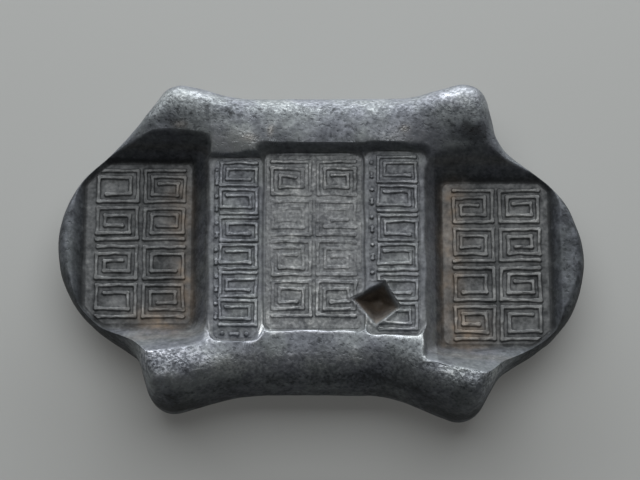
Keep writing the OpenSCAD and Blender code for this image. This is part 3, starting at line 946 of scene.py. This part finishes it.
def panelBorder(name, die, y):
    # Left and right border of a plate at each y: straight, rounded at the corners, and drawn in by the
    # wing's round or by the punch mark.
    inset = fret["sideInset"] if "column" in name else fret["inset"]
    r = strike["cornerR"]
    end = np.minimum(y - y[0], y[-1] - y)
    rounding = r - np.sqrt(r * r - np.clip(r - end, 0, r) ** 2)
    left, right = die["x"][0] + inset + rounding, die["x"][1] - inset - rounding
    if "wing" in die:
        cx, cy = wingC[die["wing"]]
        reach = plan["wingR"] - strike["lipWall"] - inset
        bow = np.sqrt(np.clip(reach**2 - (y - cy) ** 2, 0, None))
        left, right = np.maximum(left, cx - bow), np.minimum(right, cx + bow)
    if name == "centre_stamp":
        right = np.minimum(right, chopSide(y, -1))
    if name == "right_column_stamp":
        left = np.maximum(left, chopSide(y, 1))
    return left, right


def fretShape(look, x, y):
    # Distance outside the strokes, share of their full height, and what wear and chips have left of it.
    plane = flat(x, y)
    warpX, warpY = (fret["warp"] * cloud(plane, fret["warpSize"], seed) for seed in (61, 62))
    gap = strokeGap(x + warpX, y + warpY, look)
    wear = ease(fret["wearShare"] + layers(plane, fret["wear"], look["seed"] + 20))
    chips = ease(fret["chipShare"] + layers(plane, fret["chips"], look["seed"] + 22))
    keep = (1 - look["worn"] * wear) * (1 - fret["chipDepth"] * chips)
    if "bare" in look:
        bare = look["bare"]
        keep = keep * mix(bare["left"], 1, fromTo(np.abs(y - bare["y"]), *bare["reach"]))
    return gap, ease(0.5 - gap / fret["bevel"]), keep


def makePanel(name, material):
    # A grid of rows between the borders. Height: the struck floor, a slight lift inside the border, gentle
    # waves, and the strokes of the fret, worn down by slow noise. A skirt and a bottom close it below.
    die, look = dies[name], panels[name]
    y0, y1 = die["y"][0] + fret["inset"], die["y"][1] - fret["inset"]
    rowCount = int((y1 - y0) / fret["step"])
    columnCount = int((die["x"][1] - die["x"][0]) / fret["step"])
    v = np.linspace(y0, y1, rowCount)
    left, right = panelBorder(name, die, v)
    x = mix(left[:, None], right[:, None], np.linspace(0, 1, columnCount))
    y = np.repeat(v[:, None], columnCount, axis=1)
    p = np.stack([x, y], axis=-1)
    floor = struckZ(p, crownZ(p))[0]
    inside = -np.maximum(outOf(x, left[:, None], right[:, None]), outOf(y, y0, y1))
    fade = ease(inside / fret["fade"])
    gap, share, keep = fretShape(look, x, y)
    plane = flat(x, y)
    waves = layers(plane, fret["waves"], 71) + look["grain"] * layers(plane, fret["grain"], 72)
    z = floor + mix(fret["border"], strike["seat"] + fret["lift"] + waves, fade)
    z = z + fret["rise"] * share * keep * fade
    top = np.stack([x, y, z], axis=-1).reshape(-1, 3)
    index = np.arange(rowCount * columnCount).reshape(rowCount, columnCount)
    quads = np.stack([index[:-1, :-1], index[:-1, 1:], index[1:, 1:], index[1:, :-1]], -1).reshape(-1, 4)
    loop = np.concatenate([index[0, :-1], index[:-1, -1], index[-1, :0:-1], index[:0:-1, 0]])
    under = top[loop].copy()
    under[:, 2] = die["z"] - fret["skirt"]
    low = len(top) + np.arange(len(loop))
    skirt = np.stack([low, np.roll(low, -1), np.roll(loop, -1), loop], -1)
    foot = hump(np.maximum(gap, 0), fret["footReach"]) * (1 - share)
    stain = stainShare(x, y)
    tone = look["tone"] + fret["waveTone"] * waves + stains["faceTone"] * stain
    tone = tone + (fret["strokeTone"] * share + fret["footTone"] * foot) * keep
    traits = {"tone": tone, "warm": stain, "cool": look["cool"], "skin": 0, "worn": look["scuff"]}
    around = np.concatenate([index.ravel(), loop])
    traits = {key: np.broadcast_to(values, x.shape).ravel()[around] for key, values in traits.items()}
    addPiece(name + "_face", np.concatenate([top, under]), [quads, skirt, low[None, ::-1]], 1, traits,
             material, name)


# Materials

def linear(code):  # an sRGB hex value as linear red, green, blue and alpha
    c = np.array([int(code[k:k + 2], 16) for k in (1, 3, 5)]) / 255
    return (*np.where(c <= 0.04045, c / 12.92, ((c + 0.055) / 1.055) ** 2.4), 1.0)


def addNode(tree, kind, settings=None, inputs=None):
    node = tree.nodes.new(kind)
    for name, value in (settings or {}).items():
        setattr(node, name, value)
    for socket, value in (inputs or {}).items():
        if isinstance(value, bpy.types.NodeSocket):
            tree.links.new(value, node.inputs[socket])
        else:
            node.inputs[socket].default_value = value
    return node


def perMetre(size):  # noise scale for a pattern of that size in millimetres
    return 1 / (size * mm)


silver = {
    "tones": ((0.0, "#17181a"), (0.3, "#43474a"), (0.5, "#6f7376"), (0.72, "#94989a"), (1.0, "#cfd2d3")),
    "cool": ("#e9e9f1", "#e7e9e9"),  # bluish and greenish bloom of the cast skin
    "coolRange": (0.4, 0.6),  # of the clouds, from one to the other
    "plain": "#efebe7",
    "stain": "#8d765c",
    "noise": {  # size in millimetres, detail, what it adds to the tone
        "cloud": (5.0, 3.0, 0.28),
        "mottle": (1.2, 4.0, 0.5),
        "speck": (0.42, 2.0, 0.36),
        "fleck": (0.5, 3.0, -0.12),  # dark flecks of the cast skin
        "scuff": (0.4, 2.0, 0.3),  # bright grains where it is worn
    },
    "noiseMean": 0.57,  # of the first three, taken off again
    "cutOff": {"fleck": (0.46, 0.33), "scuff": (0.42, 0.6)},  # noise where these begin and are complete
    "relief": {"speck": 0.5, "scuff": 0.5, "fleck": -0.35},  # depth in the bump, against the mottle
    "levels": (0.1, 0.9),  # dark and bright, for the next two
    "roughness": (0.7, 0.5),
    "metallic": (0.25, 0.75),
    "castBump": 0.07,  # millimetres
    "struckBump": 0.06,
}


def tarnishedSilver(name, bumpMm):
    # Nearly pure silver, cast or struck, black with sulphide in the hollows and worn back to grey metal
    # where hands reach: it scatters more than it mirrors, with broad soft highlights and a blue-grey
    # bloom. The tarnish film isn't metal, so the metallic share falls with the tone.
    material = bpy.data.materials.new(name)
    material.use_nodes = True
    tree = material.node_tree
    shader = tree.nodes["Principled BSDF"]
    place = addNode(tree, "ShaderNodeTexCoord").outputs["Object"]
    # the tone read here also holds the body's painted highlights and painted shade
    tone, warm, cool, skinShare, worn = (
        addNode(tree, "ShaderNodeAttribute", {"attribute_name": key}).outputs["Fac"]
        for key in ("tone", "warm", "cool", "skin", "worn"))
    shares = {"fleck": skinShare, "scuff": worn}
    noise = {}
    level = tone
    for key, (size, detail, amount) in silver["noise"].items():
        fac = addNode(tree, "ShaderNodeTexNoise", None,
                      {"Vector": place, "Scale": perMetre(size), "Detail": detail}).outputs["Fac"]
        if key in shares:
            start, end = silver["cutOff"][key]
            fac = addNode(tree, "ShaderNodeMapRange", {"interpolation_type": "SMOOTHSTEP"},
                          {"Value": fac, "From Min": start, "From Max": end}).outputs[0]
            fac = addNode(tree, "ShaderNodeMath", {"operation": "MULTIPLY"},
                          {0: fac, 1: shares[key]}).outputs[0]
        noise[key] = fac
        level = addNode(tree, "ShaderNodeMath", {"operation": "MULTIPLY_ADD"},
                        {0: fac, 1: amount, 2: level}).outputs[0]
    level = addNode(tree, "ShaderNodeMath", {"operation": "SUBTRACT"},
                    {0: level, 1: silver["noiseMean"]}).outputs[0]
    ramp = addNode(tree, "ShaderNodeValToRGB", None, {"Fac": level})
    stops = ramp.color_ramp.elements
    for k, (at, code) in enumerate(silver["tones"]):
        stop = stops[k] if k < 2 else stops.new(at)
        stop.position, stop.color = at, linear(code)
    start, end = silver["coolRange"]
    hue = addNode(tree, "ShaderNodeMapRange", None,
                  {"Value": noise["cloud"], "From Min": start, "From Max": end}).outputs[0]
    blue, green = silver["cool"]
    bloom = addNode(tree, "ShaderNodeMix", {"data_type": "RGBA"},
                    {0: hue, 6: linear(blue), 7: linear(green)}).outputs[2]
    tint = addNode(tree, "ShaderNodeMix", {"data_type": "RGBA"},
                   {0: cool, 6: linear(silver["plain"]), 7: bloom}).outputs[2]
    colour = addNode(tree, "ShaderNodeMix", {"data_type": "RGBA", "blend_type": "MULTIPLY"},
                     {0: 1.0, 6: ramp.outputs["Color"], 7: tint}).outputs[2]
    brown = addNode(tree, "ShaderNodeMath", {"operation": "MULTIPLY"},
                    {0: noise["mottle"], 1: warm}).outputs[0]
    colour = addNode(tree, "ShaderNodeMix", {"data_type": "RGBA"},
                     {0: brown, 6: colour, 7: linear(silver["stain"])}).outputs[2]
    height = noise["mottle"]
    for key, amount in silver["relief"].items():
        height = addNode(tree, "ShaderNodeMath", {"operation": "MULTIPLY_ADD"},
                         {0: noise[key], 1: amount, 2: height}).outputs[0]
    bump = addNode(tree, "ShaderNodeBump", None,
                   {"Strength": 1.0, "Distance": bumpMm * mm, "Height": height}).outputs["Normal"]
    tree.links.new(colour, shader.inputs["Base Color"])
    tree.links.new(bump, shader.inputs["Normal"])
    start, end = silver["levels"]
    for socket, (dark, bright) in (("Roughness", silver["roughness"]), ("Metallic", silver["metallic"])):
        value = addNode(tree, "ShaderNodeMapRange", None, {
            "Value": level, "From Min": start, "From Max": end, "To Min": dark, "To Max": bright})
        tree.links.new(value.outputs[0], shader.inputs[socket])
    return material


castSilver = tarnishedSilver("tarnished cast silver", silver["castBump"])
struckSilver = tarnishedSilver("tarnished struck silver", silver["struckBump"])
print("materials made")

castTraits = {key: inRows(values) for key, values in bodyTraits().items()}
addPiece("cast_body_skin", inRows(bodyRows), bodyFaces(len(bodyRows)), 2, castTraits,
         castSilver, "cast_body")
for name in panels:
    makePanel(name, struckSilver)

# Floor, light and camera

stageLook = {
    "floorSize": 3.0,  # metres
    "floorDrop": 0.00005,
    "floorColour": "#c2c4c2",
    "floorRoughness": 0.9,
    "paleColour": "#8c8c8a",  # what the floor shows of itself in any light: it keeps the shadow pale
    "paleShare": 0.25,
    "worldColour": "#d6d6d4",
    "worldLevel": 0.09,
}


def makeFloor():
    # A square just under the feet. To the camera and in reflections, part of its colour needs no light.
    mesh = bpy.data.meshes.new("floor")
    xy = corners * stageLook["floorSize"] / 2
    mesh.from_pydata([(x, y, -stageLook["floorDrop"]) for x, y in xy], [], [(0, 1, 2, 3)])
    floor = bpy.data.objects.new("floor", mesh)
    bpy.context.scene.collection.objects.link(floor)
    material = bpy.data.materials.new("matt pale floor")
    material.use_nodes = True
    tree = material.node_tree
    shader = tree.nodes["Principled BSDF"]
    shader.inputs["Base Color"].default_value = linear(stageLook["floorColour"])
    shader.inputs["Roughness"].default_value = stageLook["floorRoughness"]
    rays = addNode(tree, "ShaderNodeLightPath").outputs
    seen = rays["Is Camera Ray"]
    for ray in ("Is Glossy Ray", "Is Transmission Ray"):
        seen = addNode(tree, "ShaderNodeMath", {"operation": "ADD"}, {0: seen, 1: rays[ray]}).outputs[0]
    share = addNode(tree, "ShaderNodeMath", {"operation": "MULTIPLY"},
                    {0: seen, 1: stageLook["paleShare"]}).outputs[0]
    pale = addNode(tree, "ShaderNodeEmission", None, {"Color": linear(stageLook["paleColour"])}).outputs[0]
    shown = addNode(tree, "ShaderNodeMixShader", None,
                    {0: share, 1: shader.outputs[0], 2: pale}).outputs[0]
    tree.links.new(shown, tree.nodes["Material Output"].inputs["Surface"])
    mesh.materials.append(material)


lamps = {
    "top softbox": {"at": (0.0, 0.137, 0.376), "size": (0.45, 0.30), "watts": 0.78, "colour": "#fdfeff"},
    "rear wall": {"at": (0.0, 0.433, 0.124), "size": (1.0, 0.24), "watts": 2.87, "colour": "#fbfdff"},
    "low rear strip": {"at": (0.0, 0.396, 0.056), "size": (0.45, 0.1), "watts": 0.87, "colour": "#fbfdff"},
}


def makeLamp(name, look):
    light = bpy.data.lights.new(name, "AREA")
    light.shape = "RECTANGLE"
    light.size, light.size_y = look["size"]
    light.energy = look["watts"]
    light.color = linear(look["colour"])[:3]
    lamp = bpy.data.objects.new(name, light)
    lamp.location = look["at"]
    lamp.rotation_euler = (-Vector(look["at"])).to_track_quat("-Z", "Y").to_euler()
    bpy.context.scene.collection.objects.link(lamp)


def makeWorld():
    world = bpy.data.worlds.new("grey room")
    bpy.context.scene.world = world
    world.use_nodes = True
    back = world.node_tree.nodes["Background"]
    back.inputs["Color"].default_value = linear(stageLook["worldColour"])
    back.inputs["Strength"].default_value = stageLook["worldLevel"]


view = {
    "elevation": 72,
    "distance": 363,
    "target": (0, 0, 6),
    "pixel": (321, 252),  # where the target falls in the frame
    "frame": (640, 480),
    "focalPixels": 2904,
    "sensor": 36.0,
    "clipStart": 10,
}


def makeCamera():
    # The camera looks down at the target from the front. Its aim is moved so that the target falls on the
    # given pixel of the frame.
    tilt = np.radians(view["elevation"])
    back = np.array([0, -np.cos(tilt), np.sin(tilt)])
    up = np.array([0, np.sin(tilt), np.cos(tilt)])
    perPixel = view["distance"] / view["focalPixels"]
    off = (np.array(view["pixel"]) - np.array(view["frame"]) / 2) * perPixel
    place = np.array(view["target"]) + back * view["distance"] - np.array([off[0], 0, 0]) + up * off[1]
    data = bpy.data.cameras.new("camera")
    data.sensor_width = view["sensor"]
    data.lens = view["focalPixels"] / view["frame"][0] * view["sensor"]
    data.clip_start = view["clipStart"] * mm
    camera = bpy.data.objects.new("camera", data)
    camera.location = place * mm
    camera.rotation_euler = Vector(-back).to_track_quat("-Z", "Y").to_euler()
    bpy.context.scene.collection.objects.link(camera)
    bpy.context.scene.camera = camera


makeFloor()
for name, look in lamps.items():
    makeLamp(name, look)
makeWorld()
makeCamera()
bpy.context.scene.view_settings.view_transform = "Standard"

print("done")
